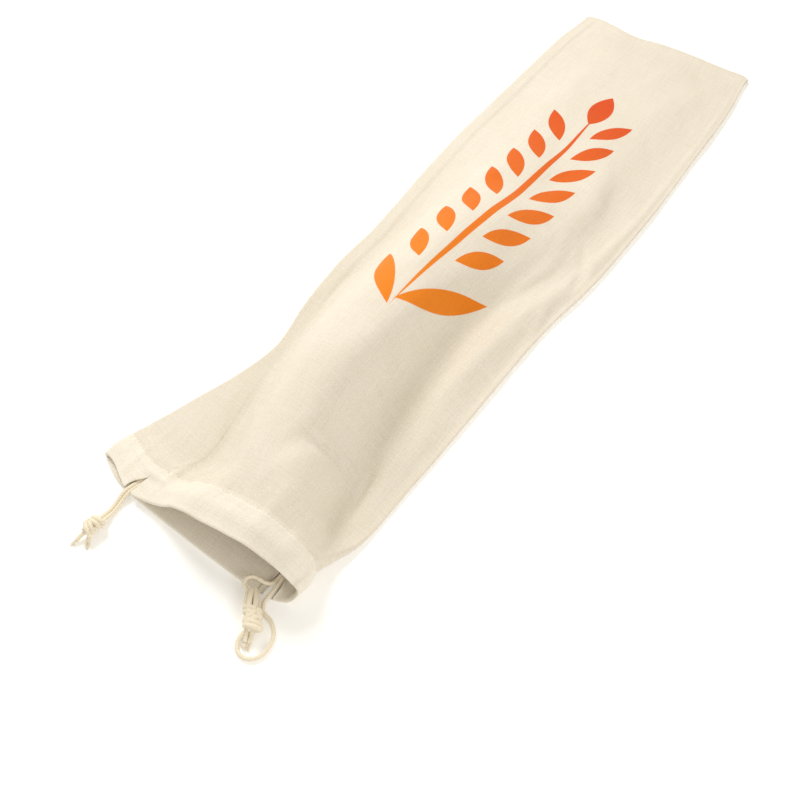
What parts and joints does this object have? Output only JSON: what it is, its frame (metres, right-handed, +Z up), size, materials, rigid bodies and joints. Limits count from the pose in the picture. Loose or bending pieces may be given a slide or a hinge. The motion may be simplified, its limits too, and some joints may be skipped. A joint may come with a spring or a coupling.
{
  "type": "linen bread bag",
  "caption": "Long drawstring bread bag of plain-woven cloth, lying flat-backed with its body filled out, a stitched casing round the open mouth and knotted cord ends at its sides.",
  "frame": {"origin": "bottom centre of the box round the cloth, on the surface that the bag lies on", "axes": "+Y along the bag from its mouth to its closed end, +Z up from the surface, +X to the right seen from the mouth"},
  "size_m": [0.204, 0.7493, 0.063],
  "materials": {
    "linen": "matt plain weave, unbleached cream",
    "cord_cotton": "matt twisted cotton, cream"
  },
  "bodies": {
    "root": {"front_panel": "linen", "back_panel": "linen", "left_cord_1": "cord_cotton", "left_cord_2": "cord_cotton", "left_knot": "cord_cotton", "right_cord_1": "cord_cotton", "right_cord_2": "cord_cotton", "right_knot": "cord_cotton"}
  },
  "joints": []
}
